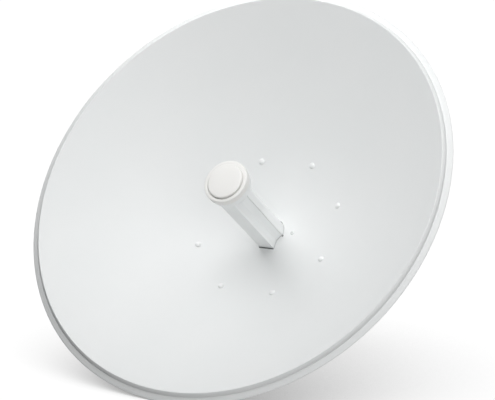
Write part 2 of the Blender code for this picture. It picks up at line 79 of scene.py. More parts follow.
# %% Picking and edit mode
def pick(*pieces):
    """Select these pieces alone, and make the first one active."""
    if bpy.context.object and bpy.context.object.mode != "OBJECT":
        bpy.ops.object.mode_set(mode="OBJECT")
    bpy.ops.object.select_all(action="DESELECT")
    for piece in pieces:
        piece.select_set(True)
    bpy.context.view_layer.objects.active = pieces[0]


def edit(piece, kind="VERT"):
    """Open a piece for editing with nothing selected."""
    pick(piece)
    bpy.ops.object.mode_set(mode="EDIT")
    bpy.ops.mesh.select_mode(type=kind)
    bpy.ops.mesh.select_all(action="DESELECT")


def done():
    bpy.ops.object.mode_set(mode="OBJECT")


def select_where(piece, part, test):
    """In edit mode, select the faces, edges or vertices that pass a test on the element."""
    mesh = bmesh.from_edit_mesh(piece.data)
    found = 0
    for element in getattr(mesh, part):
        wanted = bool(test(element))
        element.select_set(wanted)
        found += wanted
    mesh.select_flush_mode()
    bmesh.update_edit_mesh(piece.data)
    return found


# %% Modifiers
def modify(piece, kind, **settings):
    """Add a modifier and apply it at once."""
    pick(piece)
    step = piece.modifiers.new(kind.title(), kind)
    for name, value in settings.items():
        setattr(step, name, value)
    bpy.ops.object.modifier_apply(modifier=step.name)
    return piece


def discard(*pieces):
    for piece in pieces:
        bpy.data.objects.remove(piece, do_unlink=True)


def carve(piece, tool):
    """Cut a tool out of a piece, and throw the tool away."""
    modify(piece, "BOOLEAN", object=tool, operation="DIFFERENCE", solver="EXACT")
    discard(tool)
    return piece


def soften(piece, width, segments=3, angle=30):
    """Round every edge that is sharper than the angle, and keep the flats between them flat."""
    modify(
        piece, "BEVEL", width=width * MM, segments=segments, limit_method="ANGLE",
        angle_limit=math.radians(angle), harden_normals=False, miter_outer="MITER_ARC",
    )
    smooth(piece, angle)
    return modify(piece, "WEIGHTED_NORMAL", keep_sharp=True)


def smooth(piece, angle=30):
    pick(piece)
    bpy.ops.object.shade_smooth_by_angle(angle=math.radians(angle))
    return piece


# %% Places and copies
def settle(piece, matrix):
    """Carry a piece to its place and freeze that place into its mesh."""
    pick(piece)
    piece.matrix_world = matrix @ piece.matrix_world
    bpy.ops.object.transform_apply(location=True, rotation=True, scale=True)
    return piece


def copy_of(piece, name):
    twin = piece.copy()
    twin.data = piece.data.copy()
    twin.name = name
    bpy.context.scene.collection.objects.link(twin)
    return twin


# %% [markdown]
# ## Drawing a line, point by point
# Most parts here start as a line: the section of the dish, or the outline of the feed. By hand it is
# drawn with one vertex that is extruded from point to point. Spun about an axis the line becomes a
# turned part, and filled and pulled out it becomes a prism.

# %% A drawn line
def drawn(name, points):
    """One vertex, extruded along points in millimetres."""
    bpy.ops.object.select_all(action="DESELECT")
    bpy.ops.mesh.primitive_circle_add(vertices=3, radius=MM, location=(0, 0, 0))
    piece = bpy.context.object
    piece.name = name
    edit(piece)
    bpy.ops.mesh.select_all(action="SELECT")
    bpy.ops.mesh.merge(type="CENTER")
    bpy.ops.transform.translate(value=Vector(points[0]) * MM)
    for here, there in zip(points, points[1:]):
        step = (Vector(there) - Vector(here)) * MM
        bpy.ops.mesh.extrude_vertices_move(TRANSFORM_OT_translate={"value": step})
    return piece


# %% Turned parts and prisms
def turned(name, profile, steps=96, closed=True):
    """Spin a line of (radius, height) about Z. A closed line makes a ring with a full section."""
    line = [(r, 0, z) for r, z in profile]
    piece = drawn(name, line + line[:1] * closed)
    bpy.ops.mesh.select_all(action="SELECT")
    bpy.ops.mesh.remove_doubles(threshold=1e-7)
    bpy.ops.mesh.select_all(action="SELECT")
    bpy.ops.mesh.spin(steps=steps, angle=math.tau, center=(0, 0, 0), axis=(0, 0, 1))
    bpy.ops.mesh.select_all(action="SELECT")
    bpy.ops.mesh.remove_doubles(threshold=2e-6)
    bpy.ops.mesh.select_all(action="SELECT")
    bpy.ops.mesh.dissolve_degenerate(threshold=1e-7)
    bpy.ops.mesh.select_all(action="SELECT")
    bpy.ops.mesh.normals_make_consistent(inside=False)
    done()
    return piece


def prism(name, outline, low, high):
    """Fill an outline in X and Y, and pull it up from low to high."""
    piece = drawn(name, [(x, y, low) for x, y in outline])
    bpy.ops.mesh.select_all(action="SELECT")
    bpy.ops.mesh.edge_face_add()
    bpy.ops.mesh.extrude_region_move(TRANSFORM_OT_translate={"value": (0, 0, (high - low) * MM)})
    bpy.ops.mesh.select_all(action="SELECT")
    bpy.ops.mesh.normals_make_consistent(inside=False)
    done()
    return piece


# %% Arcs and fair curves
def arc(centre, radius, start, stop, steps):
    """Points on an arc, its angles in degrees."""
    points = []
    for i in range(steps + 1):
        angle = math.radians(start + (stop - start) * i / steps)
        points.append((centre[0] + radius * math.cos(angle), centre[1] + radius * math.sin(angle)))
    return points


def fair(points, steps=5):
    """A smooth line through the points, by the Catmull-Rom rule."""
    line = []
    for i in range(len(points) - 1):
        before = Vector(points[max(i - 1, 0)])
        here = Vector(points[i])
        there = Vector(points[i + 1])
        after = Vector(points[min(i + 2, len(points) - 1)])
        for k in range(steps):
            t = k / steps
            bend = (3 * (here - there) + after - before) * t + 2 * before - 5 * here + 4 * there - after
            line.append(tuple(here + 0.5 * t * (there - before + t * bend)))
    return line + [tuple(points[-1])]


# %% [markdown]
# ## Which part a piece stands for
# A finer piece takes the place of a CAD part, which physics keeps. It rides on the same body, hides the
# part that it replaces and wears one of the finishes made here.

# %% Dressing a piece
def dress(piece, finish, slot, *replaced):
    piece.data.materials.clear()
    piece.data.materials.append(finish)
    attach(piece, "root")
    if replaced:
        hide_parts(*replaced)
    print(f"{piece.name}: {len(piece.data.polygons)} faces")
    return piece


# %% [markdown]
# ## Maths on a material, written as Python
# A pattern is a formula on the surface point. The class below wraps one output of a shader node, and
# its operators add the Math nodes, so `grain * 0.5 + 0.5` reads as it would on paper.

# %% Signals
class Signal:
    """One output socket of a finish's node tree."""

    def __init__(self, finish, socket):
        self.finish = finish
        self.socket = socket

    def maths(self, operation, *values):
        return self.finish.node("ShaderNodeMath", {"operation": operation}, dict(enumerate(values)))

    def __add__(self, other):
        return self.maths("ADD", self, other)

    def __radd__(self, other):
        return self.maths("ADD", other, self)

    def __sub__(self, other):
        return self.maths("SUBTRACT", self, other)

    def __rsub__(self, other):
        return self.maths("SUBTRACT", other, self)

    def __mul__(self, other):
        return self.maths("MULTIPLY", self, other)

    def __rmul__(self, other):
        return self.maths("MULTIPLY", other, self)

    def between(self, low, high):
        """0 at low and 1 at high, held there beyond them."""
        return self.finish.node(
            "ShaderNodeMapRange", {"clamp": True}, {"Value": self, "From Min": low, "From Max": high},
        )


# %% [markdown]
# ## A finish
# A finish holds one Principled shader and the nodes that feed it. One method makes any node, and the
# others are for what nearly every finish here needs: noise, a mix of two colours, and a relief.

# %% Finishes
class Finish:
    """A material that is built node by node."""

    def __init__(self, name, **fixed):
        self.material = bpy.data.materials.new(name)
        self.material.use_nodes = True
        self.tree = self.material.node_tree
        self.shader = self.tree.nodes["Principled BSDF"]
        self.where = Signal(self, self.tree.nodes.new("ShaderNodeTexCoord").outputs["Object"])
        for socket, value in fixed.items():
            self.set(socket.replace("_", " "), value)

    def fill(self, target, value):
        if isinstance(value, Signal):
            self.tree.links.new(value.socket, target)
        elif hasattr(value, "__len__") and len(value) == 3 and target.type == "RGBA":
            target.default_value = (*value, 1.0)
        else:
            target.default_value = value

    def set(self, socket, value):
        self.fill(self.shader.inputs[socket], value)

    def node(self, kind, settings=None, sockets=None, out=0):
        """Any node: its settings first, then the values or links of its sockets."""
        made = self.tree.nodes.new(kind)
        for name, value in (settings or {}).items():
            setattr(made, name, value)
        for name, value in (sockets or {}).items():
            self.fill(made.inputs[name], value)
        return Signal(self, made.outputs[out])

    def noise(self, scale, detail=2.0, roughness=0.5):
        return self.node(
            "ShaderNodeTexNoise", {"noise_dimensions": "3D"},
            {"Vector": self.where, "Scale": scale, "Detail": detail, "Roughness": roughness},
        )

    def tint(self, share, first, second):
        """Mix two colours by a signal."""
        made = self.tree.nodes.new("ShaderNodeMix")
        made.data_type = "RGBA"
        for index, value in ((0, share), (6, first), (7, second)):
            self.fill(made.inputs[index], value)
        return Signal(self, made.outputs[2])

    def relief(self, height, strength, distance):
        self.set("Normal", self.node(
            "ShaderNodeBump", None, {"Height": height, "Strength": strength, "Distance": distance},
        ))


# %% [markdown]
# ## The camera
# The photograph was taken with a long lens from the dish's right, a little above it. Lens and place
# were found by fitting the two rim ellipses and the ring of rivets. The small shift is there because
# the picture is cut from a larger frame.

# %% Camera
bpy.ops.object.select_all(action="DESELECT")
VIEW = Vector((-0.50712, 0.84301, -0.17864))
bpy.ops.object.camera_add(location=(1.0775, -2.0535, 0.4397))
camera = bpy.context.object
camera.rotation_euler = VIEW.to_track_quat("-Z", "Y").to_euler()
camera.data.lens = 109.8
camera.data.sensor_width = 36.0
camera.data.shift_x = 0.0463
camera.data.shift_y = 0.0396
bpy.context.scene.camera = camera
print("lens:", round(camera.data.lens, 1), "mm")

# %% [markdown]
# ## Studio light
# White paint shows its shape only through soft changes of grey, so every light is a soft panel that the
# camera doesn't see. Four long ones hang over the bowl like a tent. They are wide from side to side, so
# the feed's shadow is a short dark wedge that fades into two faint wings. Three softer ones fill from
# the front and the right, and two behind light the bracket.

# %% Floor and panels
FLOOR_Z = -0.1625
bpy.ops.mesh.primitive_plane_add(size=24, location=(0, 0, FLOOR_Z))
floor = bpy.context.object
floor.name = "studio_floor"
BOWL = Vector((0.0, -0.15, 0.05))
TENT_FAR = 1.2
TENT = (1.6, 0.5)


def round_bowl(azimuth, elevation):
    """A place seen from the bowl at an azimuth, 0 towards -Y, and at a height angle."""
    turn, tilt = math.radians(azimuth), math.radians(elevation)
    level = Vector((math.sin(turn), -math.cos(turn), 0.0)) * math.cos(tilt)
    return BOWL + (level + Vector((0.0, 0.0, math.sin(tilt)))) * TENT_FAR


def panel(name, width, height, power, place):
    """A soft panel at a place, turned to face the bowl."""
    bpy.ops.object.light_add(type="AREA", location=place)
    light = bpy.context.object
    light.name = name
    light.data.shape = "RECTANGLE"
    light.data.size = width
    light.data.size_y = height
    light.data.energy = power
    light.visible_camera = False
    light.rotation_euler = (BOWL - Vector(place)).to_track_quat("-Z", "Y").to_euler()
    return light


panel("tent_left", *TENT, 4.5, round_bowl(-35, 60))
panel("tent_right", *TENT, 2.6, round_bowl(35, 60))
panel("tent_top", *TENT, 1.7, round_bowl(0, 80))
panel("tent_back", *TENT, 2.8, round_bowl(0, 95))
panel("bowl_fill", 0.6, 0.6, 1.25, (0.0, -0.6, 1.1))
panel("front_fill", 1.0, 1.0, 2.5, (0.5, -1.0, 0.5))
panel("camera_side_fill", 1.6, 1.6, 7.7, (2.0, -2.0, 0.8))
panel("rear_left_panel", 1.6, 1.6, 26.0, (-1.5, 1.9, 1.5))
panel("rear_right_panel", 1.2, 1.2, 9.0, (2.0, 1.7, 0.7))

# %% [markdown]
# ## The room
# The world is dim in front, where the panels do the work, and bright behind the dish, so that zinc has
# a light wall to reflect. The camera itself sees plain white paper. Blender's standard view keeps white
# as white.

# %% World
DIM_FRONT = 0.08
BRIGHT_BACK = 0.7
PAPER = 1.05
world = bpy.data.worlds.new("studio")
bpy.context.scene.world = world
world.use_nodes = True
links = world.node_tree.links
nodes = world.node_tree.nodes
toward = nodes.new("ShaderNodeTexCoord")
parts = nodes.new("ShaderNodeSeparateXYZ")
links.new(toward.outputs["Generated"], parts.inputs[0])
behind = nodes.new("ShaderNodeMapRange")
for name, value in (("From Min", 0.5), ("From Max", 0.85), ("To Min", DIM_FRONT), ("To Max", BRIGHT_BACK)):
    behind.inputs[name].default_value = value
links.new(parts.outputs["Y"], behind.inputs["Value"])
surround = nodes["Background"]
surround.inputs["Color"].default_value = (0.97, 0.99, 1.0, 1.0)
links.new(behind.outputs[0], surround.inputs["Strength"])
paper = nodes.new("ShaderNodeBackground")
paper.inputs["Color"].default_value = (1.0, 1.0, 1.0, 1.0)
paper.inputs["Strength"].default_value = PAPER
seen = nodes.new("ShaderNodeLightPath")
blend = nodes.new("ShaderNodeMixShader")
links.new(seen.outputs["Is Camera Ray"], blend.inputs[0])
links.new(surround.outputs[0], blend.inputs[1])
links.new(paper.outputs[0], blend.inputs[2])
links.new(blend.outputs[0], nodes["World Output"].inputs["Surface"])
bpy.context.scene.view_settings.view_transform = "Standard"
print("world:", len(nodes), "nodes")

# %% [markdown]
# ## Powder coat
# The dish is sprayed with powder that melts into a satin skin. Close up it has a very fine orange peel,
# and over a hand's width the sheen varies a little. Both are noise on the object's own coordinates, so
# they stay put when the camera moves.

# %% Powder-coat finish
powder = Finish("powder_coat", Specular_IOR_Level=0.5)
drift = powder.noise(9.0, 3.0)
speck = powder.noise(700.0)
skin = powder.tint(drift.between(0.3, 0.7), (0.836, 0.853, 0.852), (0.851, 0.863, 0.862))
powder.set("Base Color", skin)
powder.set("Roughness", 0.44 + (drift - 0.5) * 0.1 + (speck - 0.5) * 0.05)
powder.relief(speck, 0.12, 0.0001)
print("powder coat:", len(powder.tree.nodes), "nodes")

# %% [markdown]
# ## Moulded plastic
# The feed is moulded in a slightly warmer white. Its mould was spark-eroded, which leaves a fine even
# grain that kills sharp reflections.

# %% Plastic finishes
plastic = Finish("moulded_plastic", Specular_IOR_Level=0.45)
grain = plastic.noise(1600.0)
cloud = plastic.noise(22.0)
shade = plastic.tint(cloud.between(0.3, 0.7), (0.885, 0.90, 0.90), (0.90, 0.912, 0.912))
plastic.set("Base Color", shade)
plastic.set("Roughness", 0.38 + (grain - 0.5) * 0.12)
plastic.relief(grain, 0.1, 0.00005)

cap_plastic = Finish("cap_plastic", Specular_IOR_Level=0.45)
grain = cap_plastic.noise(1600.0)
cloud = cap_plastic.noise(30.0)
cap_plastic.set("Base Color", cap_plastic.tint(cloud, (0.87, 0.865, 0.843), (0.88, 0.875, 0.855)))
cap_plastic.set("Roughness", 0.34 + (grain - 0.5) * 0.12)
cap_plastic.relief(grain, 0.08, 0.00005)
print("plastics:", len(plastic.tree.nodes), "and", len(cap_plastic.tree.nodes), "nodes")

# %% [markdown]
# ## Zinc-plated steel
# The brackets and bolts are plated. The plating is a cool, slightly yellowed grey, cloudy rather than
# mirror-like, with fine scratches from the drum in which it was plated.

# %% Zinc finishes
zinc = Finish("zinc_plate", Metallic=1.0)
cloud = zinc.noise(55.0, 4.0, 0.6)
scratch = zinc.noise(420.0, 3.0, 0.7)
zinc.set("Base Color", zinc.tint(cloud.between(0.3, 0.7), (0.56, 0.57, 0.58), (0.68, 0.68, 0.67)))
zinc.set("Roughness", 0.34 + (cloud - 0.5) * 0.25 + (scratch - 0.5) * 0.12)
zinc.relief(scratch, 0.1, 0.00008)
print("zinc:", len(zinc.tree.nodes), "nodes")

# %% [markdown]
# ## The reflector
# The dish is one round of sheet steel, pressed to a paraboloid and rolled at its edge into a bead, a
# slope that steepens to a step, and a turned-down flange. Together they keep it stiff. A spin of its
# section gives exactly that. Only the front line is drawn, and Solidify gives it the thickness of the
# sheet.

# %% The bowl's curve
def bowl_z(radius):
    return radius * radius / (4 * FOCUS)


def on_bowl(x, y):
    """A matrix in metres that stands a piece square on the dish at x, y in millimetres."""
    normal = Vector((-x, -y, 2 * FOCUS)).normalized()
    place = Matrix.Translation(Vector((x, y, bowl_z(math.hypot(x, y)))) * MM)
    return place @ normal.to_track_quat("Z", "Y").to_matrix().to_4x4()


def face_up(piece):
    """Turn an open sheet's faces towards the beam, and stay in edit mode."""
    edit(piece, "FACE")
    bpy.ops.mesh.select_all(action="SELECT")
    if bmesh.from_edit_mesh(piece.data).faces[:][0].normal.z < 0:
        bpy.ops.mesh.flip_normals()


# %% Reflector sheet
LIP_Z = bowl_z(LIP_R)
SHEET = 1.0
bowl_line = [(LIP_R * i / 40, bowl_z(LIP_R * i / 40)) for i in range(1, 41)]
bead = [(0.0, 0.0), (0.9, 0.85), (1.6, 1.2), (2.2, 1.25), (2.9, 0.8)]
step = [
    (2.9, 0.8), (3.8, 0.05), (4.7, -0.7), (5.4, -1.8), (5.9, -3.2), (6.4, -3.8), (7.2, -3.9), (8.4, -4.0),
]
flange = [
    (8.4, -4.0), (10.5, -4.5), (12.6, -5.0), (13.8, -5.35), (14.55, -5.75), (14.95, -6.15), (14.7, -6.6),
]
edge_line = fair(bead, 3)[:-1] + fair(step, 3)[:-1] + fair(flange, 3)
edge_line = [(LIP_R + r, LIP_Z + z) for r, z in edge_line]
dish = turned("reflector_sheet", bowl_line + edge_line[1:], steps=224, closed=False)
face_up(dish)
done()
modify(dish, "SOLIDIFY", thickness=SHEET * MM, offset=-1.0, use_even_offset=True)
print("reflector:", len(dish.data.vertices), "points")

# %% [markdown]
# ## The feed's slot
# The feed passes through a slot of its own shape, with a thin line of air round it. Under the feed the
# air widens to a slit, and two small key notches stand beside it. The outline comes from a function
# with a play round it, and the dish is cut with prisms.

# %% The feed's outline
TUBE_HALF_W = 12.3
TUBE_BOTTOM = -27.3
TUBE_FLARE = -14.3
SHOULDER = (17.8, -5.2)
UPPER_R = 19.3
UPPER_FLAT = 14.0
SEAM_Y = -4.5


def feed_outline(play):
    right = [
        (TUBE_HALF_W + play, TUBE_BOTTOM - play), (TUBE_HALF_W + play, TUBE_FLARE - play / 2),
        (SHOULDER[0] + play, SHOULDER[1] - play), (UPPER_R + play, SEAM_Y - play),
    ]
    top = arc((0, 0), UPPER_R + play, UPPER_FLAT, 180 - UPPER_FLAT, 28)
    return right + top + [(-x, y) for x, y in reversed(right)]


# %% Slot, slit and notches
SLOT_PLAY = 0.6
SLIT_HALF_W = 12.6
SLIT_BOTTOM = -29.2
NOTCH_X = 19.9
NOTCH_Y = SEAM_Y - 0.9
NOTCH_R = 1.5
THROUGH = (-10, 20)
slit = [
    (-SLIT_HALF_W, SLIT_BOTTOM), (SLIT_HALF_W, SLIT_BOTTOM), (SLIT_HALF_W, TUBE_BOTTOM + 0.3),
    (-SLIT_HALF_W, TUBE_BOTTOM + 0.3),
]
carve(dish, prism("slot_tool", feed_outline(SLOT_PLAY), *THROUGH))
carve(dish, prism("slit_tool", slit, *THROUGH))
for side in (-1, 1):
    carve(dish, prism("key_notch_tool", arc((side * NOTCH_X, NOTCH_Y), NOTCH_R, 0, 345, 16), *THROUGH))
smooth(dish, 28)
settle(dish, DISH)
dress(dish, powder.material, "painted_steel", "reflector")

# %% [markdown]
# ## Rivets
# Eight domed rivets hold the back plate. Their heads are enamelled before they are set, so they are a
# little whiter and glossier than the powder coat round them. One is turned and the rest are copies,
# each square to the bowl at its own place.

# %% Rivet heads
enamel = Finish("rivet_enamel", Specular_IOR_Level=0.5)
ripple = enamel.noise(300.0)
enamel.set("Base Color", enamel.tint(ripple, (0.89, 0.90, 0.90), (0.905, 0.91, 0.91)))
enamel.set("Roughness", 0.36 + (ripple - 0.5) * 0.08)
enamel.relief(ripple, 0.1, 0.00005)

RIVET_R = 4.6
RIVET_H = 2.8
RIVET_SUNK = -0.3
angles = [math.radians(7 * i) for i in range(1, 13)]
dome = [(RIVET_R * math.cos(a), RIVET_H * math.sin(a)) for a in angles]
rivet_side = [(RIVET_R, RIVET_SUNK)] + dome + [(0, RIVET_H), (0, RIVET_SUNK)]
first_rivet = turned("rivet_pattern", rivet_side, steps=32)
smooth(first_rivet, 50)
for i in range(8):
    angle = math.radians(112.5 - 45 * i)
    spot = on_bowl(RIVET_RING_R * math.cos(angle), RIVET_RING_R * math.sin(angle))
    rivet = copy_of(first_rivet, f"rivet_{i + 1}")
    settle(rivet, DISH @ spot)
    dress(rivet, enamel.material, "painted_steel", f"dish_rivet_{i + 1}")
discard(first_rivet)

# %% [markdown]
# ## The small screw beside the feed
# It locks the feed's socket. It has a low pan head with a cross recess, painted over.

# %% Dish screw
screw = turned("dish_screw_head", [
    (0.0, -6.0), (1.6, -6.0), (1.6, 0.0), (3.0, 0.0), (3.0, 0.7), (2.7, 1.4), (2.0, 1.9), (1.0, 2.15),
    (0.0, 2.2),
], steps=32)
CROSS = (1.7, 0.42)
CROSS_FLOOR = 0.9
x, y = CROSS
for turn in (20, 110):
    bar = prism("recess_tool", [(-x, -y), (x, -y), (x, y), (-x, y)], CROSS_FLOOR, 4.0)
    settle(bar, Matrix.Rotation(math.radians(turn), 4, "Z"))
    carve(screw, bar)
smooth(screw, 35)
settle(screw, DISH @ on_bowl(DISH_SCREW_X, 0))
dress(screw, powder.material, "zinc_steel", "dish_screw")

# %% [markdown]
# ## The feed
# The feed's case has two shells that meet on a straight seam, with a hair of air between them. The
# lower one is boxy, with flat sides that flare out, and the upper one is round. Each is a prism of its
# outline with its long edges rounded, and at the outer end both run out into a round neck.

# %% Lower shell
TUBE_FOOT = -18.0
TUBE_TOP = 143.0
HAIR = 0.16
SEAM_HALF_W = SHOULDER[0] + 0.9
lower = [(TUBE_HALF_W, TUBE_BOTTOM), (TUBE_HALF_W, TUBE_FLARE), SHOULDER, (SEAM_HALF_W, SEAM_Y - HAIR)]
lower += [(-x, y) for x, y in reversed(lower)]
lower_shell = prism("feed_lower_case", lower, TUBE_FOOT, TUBE_TOP)
soften(lower_shell, 0.7, 3, 25)
settle(lower_shell, DISH)
dress(lower_shell, plastic.material, "white_plastic", "feed_lower_shell")

# %% Upper shell
BROKEN = 0.3
upper = [(UPPER_R - BROKEN, SEAM_Y), (UPPER_R, SEAM_Y + BROKEN)]
upper += arc((0, 0), UPPER_R, UPPER_FLAT, 180 - UPPER_FLAT, 56)
upper += [(-UPPER_R, SEAM_Y + BROKEN), (-UPPER_R + BROKEN, SEAM_Y)]
upper_shell = prism("feed_upper_case", upper, TUBE_FOOT, TUBE_TOP)
smooth(upper_shell, 20)
settle(upper_shell, DISH)
dress(upper_shell, plastic.material, "white_plastic", "feed_upper_shell")

# %% [markdown]
# ## Status strip
# A slim raised panel lies on the flat of the upper shell, on the right. Small lamps shine through it
# when the radio works. It is left bare.

# %% Status strip
STRIP = (9.4, 60.0)
STRIP_THICK = 1.1
STRIP_Z = 98.0


def rounded(width, height, radius, steps=6, centre=(0.0, 0.0)):
    """The outline of a rectangle with rounded corners."""
    points = []
    x, y = width / 2 - radius, height / 2 - radius
    for cx, cy, start in ((x, y, 0), (-x, y, 90), (-x, -y, 180), (x, -y, 270)):
        points += arc((centre[0] + cx, centre[1] + cy), radius, start, start + 90, steps)
    return points


strip = prism("status_strip", rounded(*STRIP, 1.5), 0.0, STRIP_THICK)
soften(strip, 0.3, 3, 50)
onto_side = Matrix(((0, 0, 1, 0), (1, 0, 0, 0), (0, 1, 0, 0), (0, 0, 0, 1)))
settle(strip, DISH @ Matrix.Translation(Vector((UPPER_R, 0, STRIP_Z)) * MM) @ onto_side)
dress(strip, plastic.material, "white_plastic", "feed_status_strip")

# %% [markdown]
# ## Neck and cap
# The cap is the feed's own small reflector under a snap-on lid. A neck widens from the shells to a
# ring, a thin seam parts the two, and a disc stands a little proud of the ring. The ring's opening lies
# a little low and to the left of the disc, so that the gap between them is wide at the lower left and
# closes at the upper right.

# %% Neck
CAP_Y = -1.5
CAP_R = 33.2
CAP_BACK = 155.0
CAP_FRONT = 164.0
NECK_BACK = 139.4
NECK_FRONT = 154.7
middle = DISH @ Matrix.Translation((0, CAP_Y * MM, 0))

neck_side = fair([
    (26.6, NECK_BACK), (28.6, 141.0), (30.3, 143.6), (31.5, 147.0), (32.2, 150.5), (32.7, 154.3),
], 4)
neck_side = [(0, NECK_BACK)] + neck_side + [(32.4, NECK_FRONT), (0, NECK_FRONT)]
neck = turned("feed_neck_cone", neck_side, steps=128)
smooth(neck, 35)
settle(neck, middle)
dress(neck, plastic.material, "white_plastic", "feed_neck")

# %% Cap ring
DISC_R = 26.8
GAP = 0.7
GAP_SHIFT = (-0.4, -0.6, 0.0)
ring_side = [(0, CAP_BACK)] + arc((CAP_R - 0.4, CAP_BACK + 0.4), 0.4, 270, 360, 4)
ring_side += arc((CAP_R - 1.8, CAP_FRONT - 1.8), 1.8, 0, 80, 8)
ring_side += arc((DISC_R + GAP + 0.8, CAP_FRONT - 1.0), 0.8, 95, 180, 6)
ring_side += [(DISC_R + GAP, CAP_FRONT - 3.5), (DISC_R - 2.0, CAP_FRONT - 3.5)]
ring_side += [(DISC_R - 2.0, CAP_FRONT - 3.0), (0, CAP_FRONT - 3.0)]
ring = turned("feed_cap_rim", ring_side, steps=128)
edit(ring)
select_where(ring, "verts", lambda v: GAP - 0.1 < v.co.xy.length / MM - DISC_R < GAP + 1.1)
bpy.ops.transform.translate(value=Vector(GAP_SHIFT) * MM)
done()
smooth(ring, 35)
settle(ring, middle)
dress(ring, cap_plastic.material, "white_plastic", "feed_cap_ring")

# %% Cap disc
DISC_FRONT = 166.6
disc_side = [(0, CAP_FRONT - 2.9), (DISC_R - 0.4, CAP_FRONT - 2.9), (DISC_R, CAP_FRONT - 2.5)]
disc_side += arc((DISC_R - 2.0, DISC_FRONT - 2.0), 2.0, 0, 88, 10) + [(12, DISC_FRONT), (0, DISC_FRONT)]
disc = turned("feed_cap_lid", disc_side, steps=128)
smooth(disc, 35)
settle(disc, middle)
dress(disc, cap_plastic.material, "white_plastic", "feed_cap_disc")

# %% [markdown]
# ## The back plate
# Behind the dish a pressed steel pan spreads the pull of the bracket over eight rivets. A press can't
# make sharp corners, so its section is drawn with arcs. Shallow pockets in its sloping side stiffen it.
# They are faces that are picked by angle, inset and pushed out a little.

# %% A line with rounded corners
def eased(corners, radii):
    """A line through corners of (x, y), each inner corner rounded by its radius."""
    line = [corners[0]]
    for before, here, after, radius in zip(corners, corners[1:], corners[2:], radii):
        here = Vector(here)
        to_before = (Vector(before) - here).normalized()
        to_after = (Vector(after) - here).normalized()
        half = to_before.angle(to_after) / 2
        reach = radius / math.tan(half)
        centre = here + (to_before + to_after).normalized() * radius / math.sin(half)
        start = here + to_before * reach - centre
        stop = here + to_after * reach - centre
        for i in range(6):
            spoke = start.slerp(stop, i / 5).normalized() * radius
            line.append(tuple(centre + spoke))
    return line + [corners[-1]]


# %% Back plate
PLATE_GAP = 1.4


def behind_bowl(radius, depth):
    """A point on the pan's section, a depth square behind the bowl's front at a radius."""
    slope = math.atan(radius / (2 * FOCUS))
    return radius + depth * math.sin(slope), bowl_z(radius) - depth * math.cos(slope)


plate_line = eased(
    [(43.0, -20.0), (86.0, -20.0), behind_bowl(97.5, PLATE_GAP), behind_bowl(113, PLATE_GAP),
     behind_bowl(126.5, PLATE_GAP), behind_bowl(127.8, PLATE_GAP + 1.0)],
    [6.0, 5.0, 60.0, 0.8],
)
plate = turned("back_plate_pan", plate_line, steps=180, closed=False)
print("pan:", len(plate.data.vertices), "points")

# %% Pockets, thickness and holes
POCKET_INSET = 1.6
POCKET_DEPTH = 1.5
PLATE_SHEET = 2.0
YOKE_SCREWS = [(x, y) for x in (59, -59) for y in (27, -27)]


def in_pocket(face):
    spot = face.calc_center_median() / MM
    radius = math.hypot(spot.x, spot.y)
    angle = math.degrees(math.atan2(spot.y, spot.x)) % 30
    return 88.5 < radius < 95.5 and -17 < spot.z < 13 and (angle < 8 or angle > 22)


face_up(plate)
print("pocket faces:", select_where(plate, "faces", in_pocket))
bpy.ops.mesh.inset(thickness=POCKET_INSET * MM, depth=0.0)
bpy.ops.transform.shrink_fatten(value=-POCKET_DEPTH * MM)
done()
modify(plate, "SOLIDIFY", thickness=PLATE_SHEET * MM, offset=-1.0, use_even_offset=True)
for x, y in YOKE_SCREWS:
    drill = turned("drill", [(0, -30), (3.3, -30), (3.3, -10), (0, -10)], steps=24)
    carve(plate, settle(drill, Matrix.Translation(Vector((x, y, 0)) * MM)))
smooth(plate, 32)
settle(plate, DISH)
dress(plate, powder.material, "painted_steel", "back_plate")

# %% [markdown]
# ## Radio housing
# The electronics sit in a moulded box behind the plate. Such a box has a parting seam, rows of cooling
# fins on its back, a shallow bare panel where a label would go, and a cover over the cable port
# underneath.

# %% Housing
HOUSING = (60.0, 112.0)
HOUSING_Y = -6.0
HOUSING_FRONT = -22.6
HOUSING_BACK = -62.6

middle_of_case = (0, HOUSING_Y)
housing = prism("radio_case", rounded(*HOUSING, 12, 8, middle_of_case), HOUSING_BACK, HOUSING_FRONT)
edit(housing, "EDGE")
select_where(housing, "edges", lambda e: all(v.co.z < (HOUSING_BACK + 0.1) * MM for v in e.verts))
bpy.ops.mesh.bevel(offset=5 * MM, segments=6, affect="EDGES", profile=0.5)
done()
band = prism("seam_tool", rounded(HOUSING[0] + 4, HOUSING[1] + 4, 14, 8, middle_of_case), -33.4, -32.6)
core = prism("seam_core", rounded(HOUSING[0] - 1.4, HOUSING[1] - 1.4, 11.3, 8, middle_of_case), -35, -31)
carve(housing, carve(band, core))

# %% Fins, label panel and the port's seat
FIN_SLOT = (2.6, 46)
FINS_Y = 16
FIN_DEEP = 2.2
PANEL = (38, 26)
PANEL_Y = -35
PANEL_DEEP = 0.5
for i in range(9):
    fin = rounded(*FIN_SLOT, 1.29, 4, (-20 + 5 * i, FINS_Y))
    carve(housing, prism("fin_tool", fin, HOUSING_BACK - 2, HOUSING_BACK + FIN_DEEP))
bare = rounded(*PANEL, 2, 4, (0, PANEL_Y))
carve(housing, prism("panel_tool", bare, HOUSING_BACK - 2, HOUSING_BACK + PANEL_DEEP))
bottom = HOUSING_Y - HOUSING[1] / 2
seat = prism("seat_tool", rounded(34, 7, 0.5, 2, (0, bottom)), HOUSING_FRONT - 26, HOUSING_FRONT - 8)
carve(housing, seat)
soften(housing, 0.25, 2, 35)
settle(housing, DISH)
dress(housing, plastic.material, "white_plastic", "radio_housing")

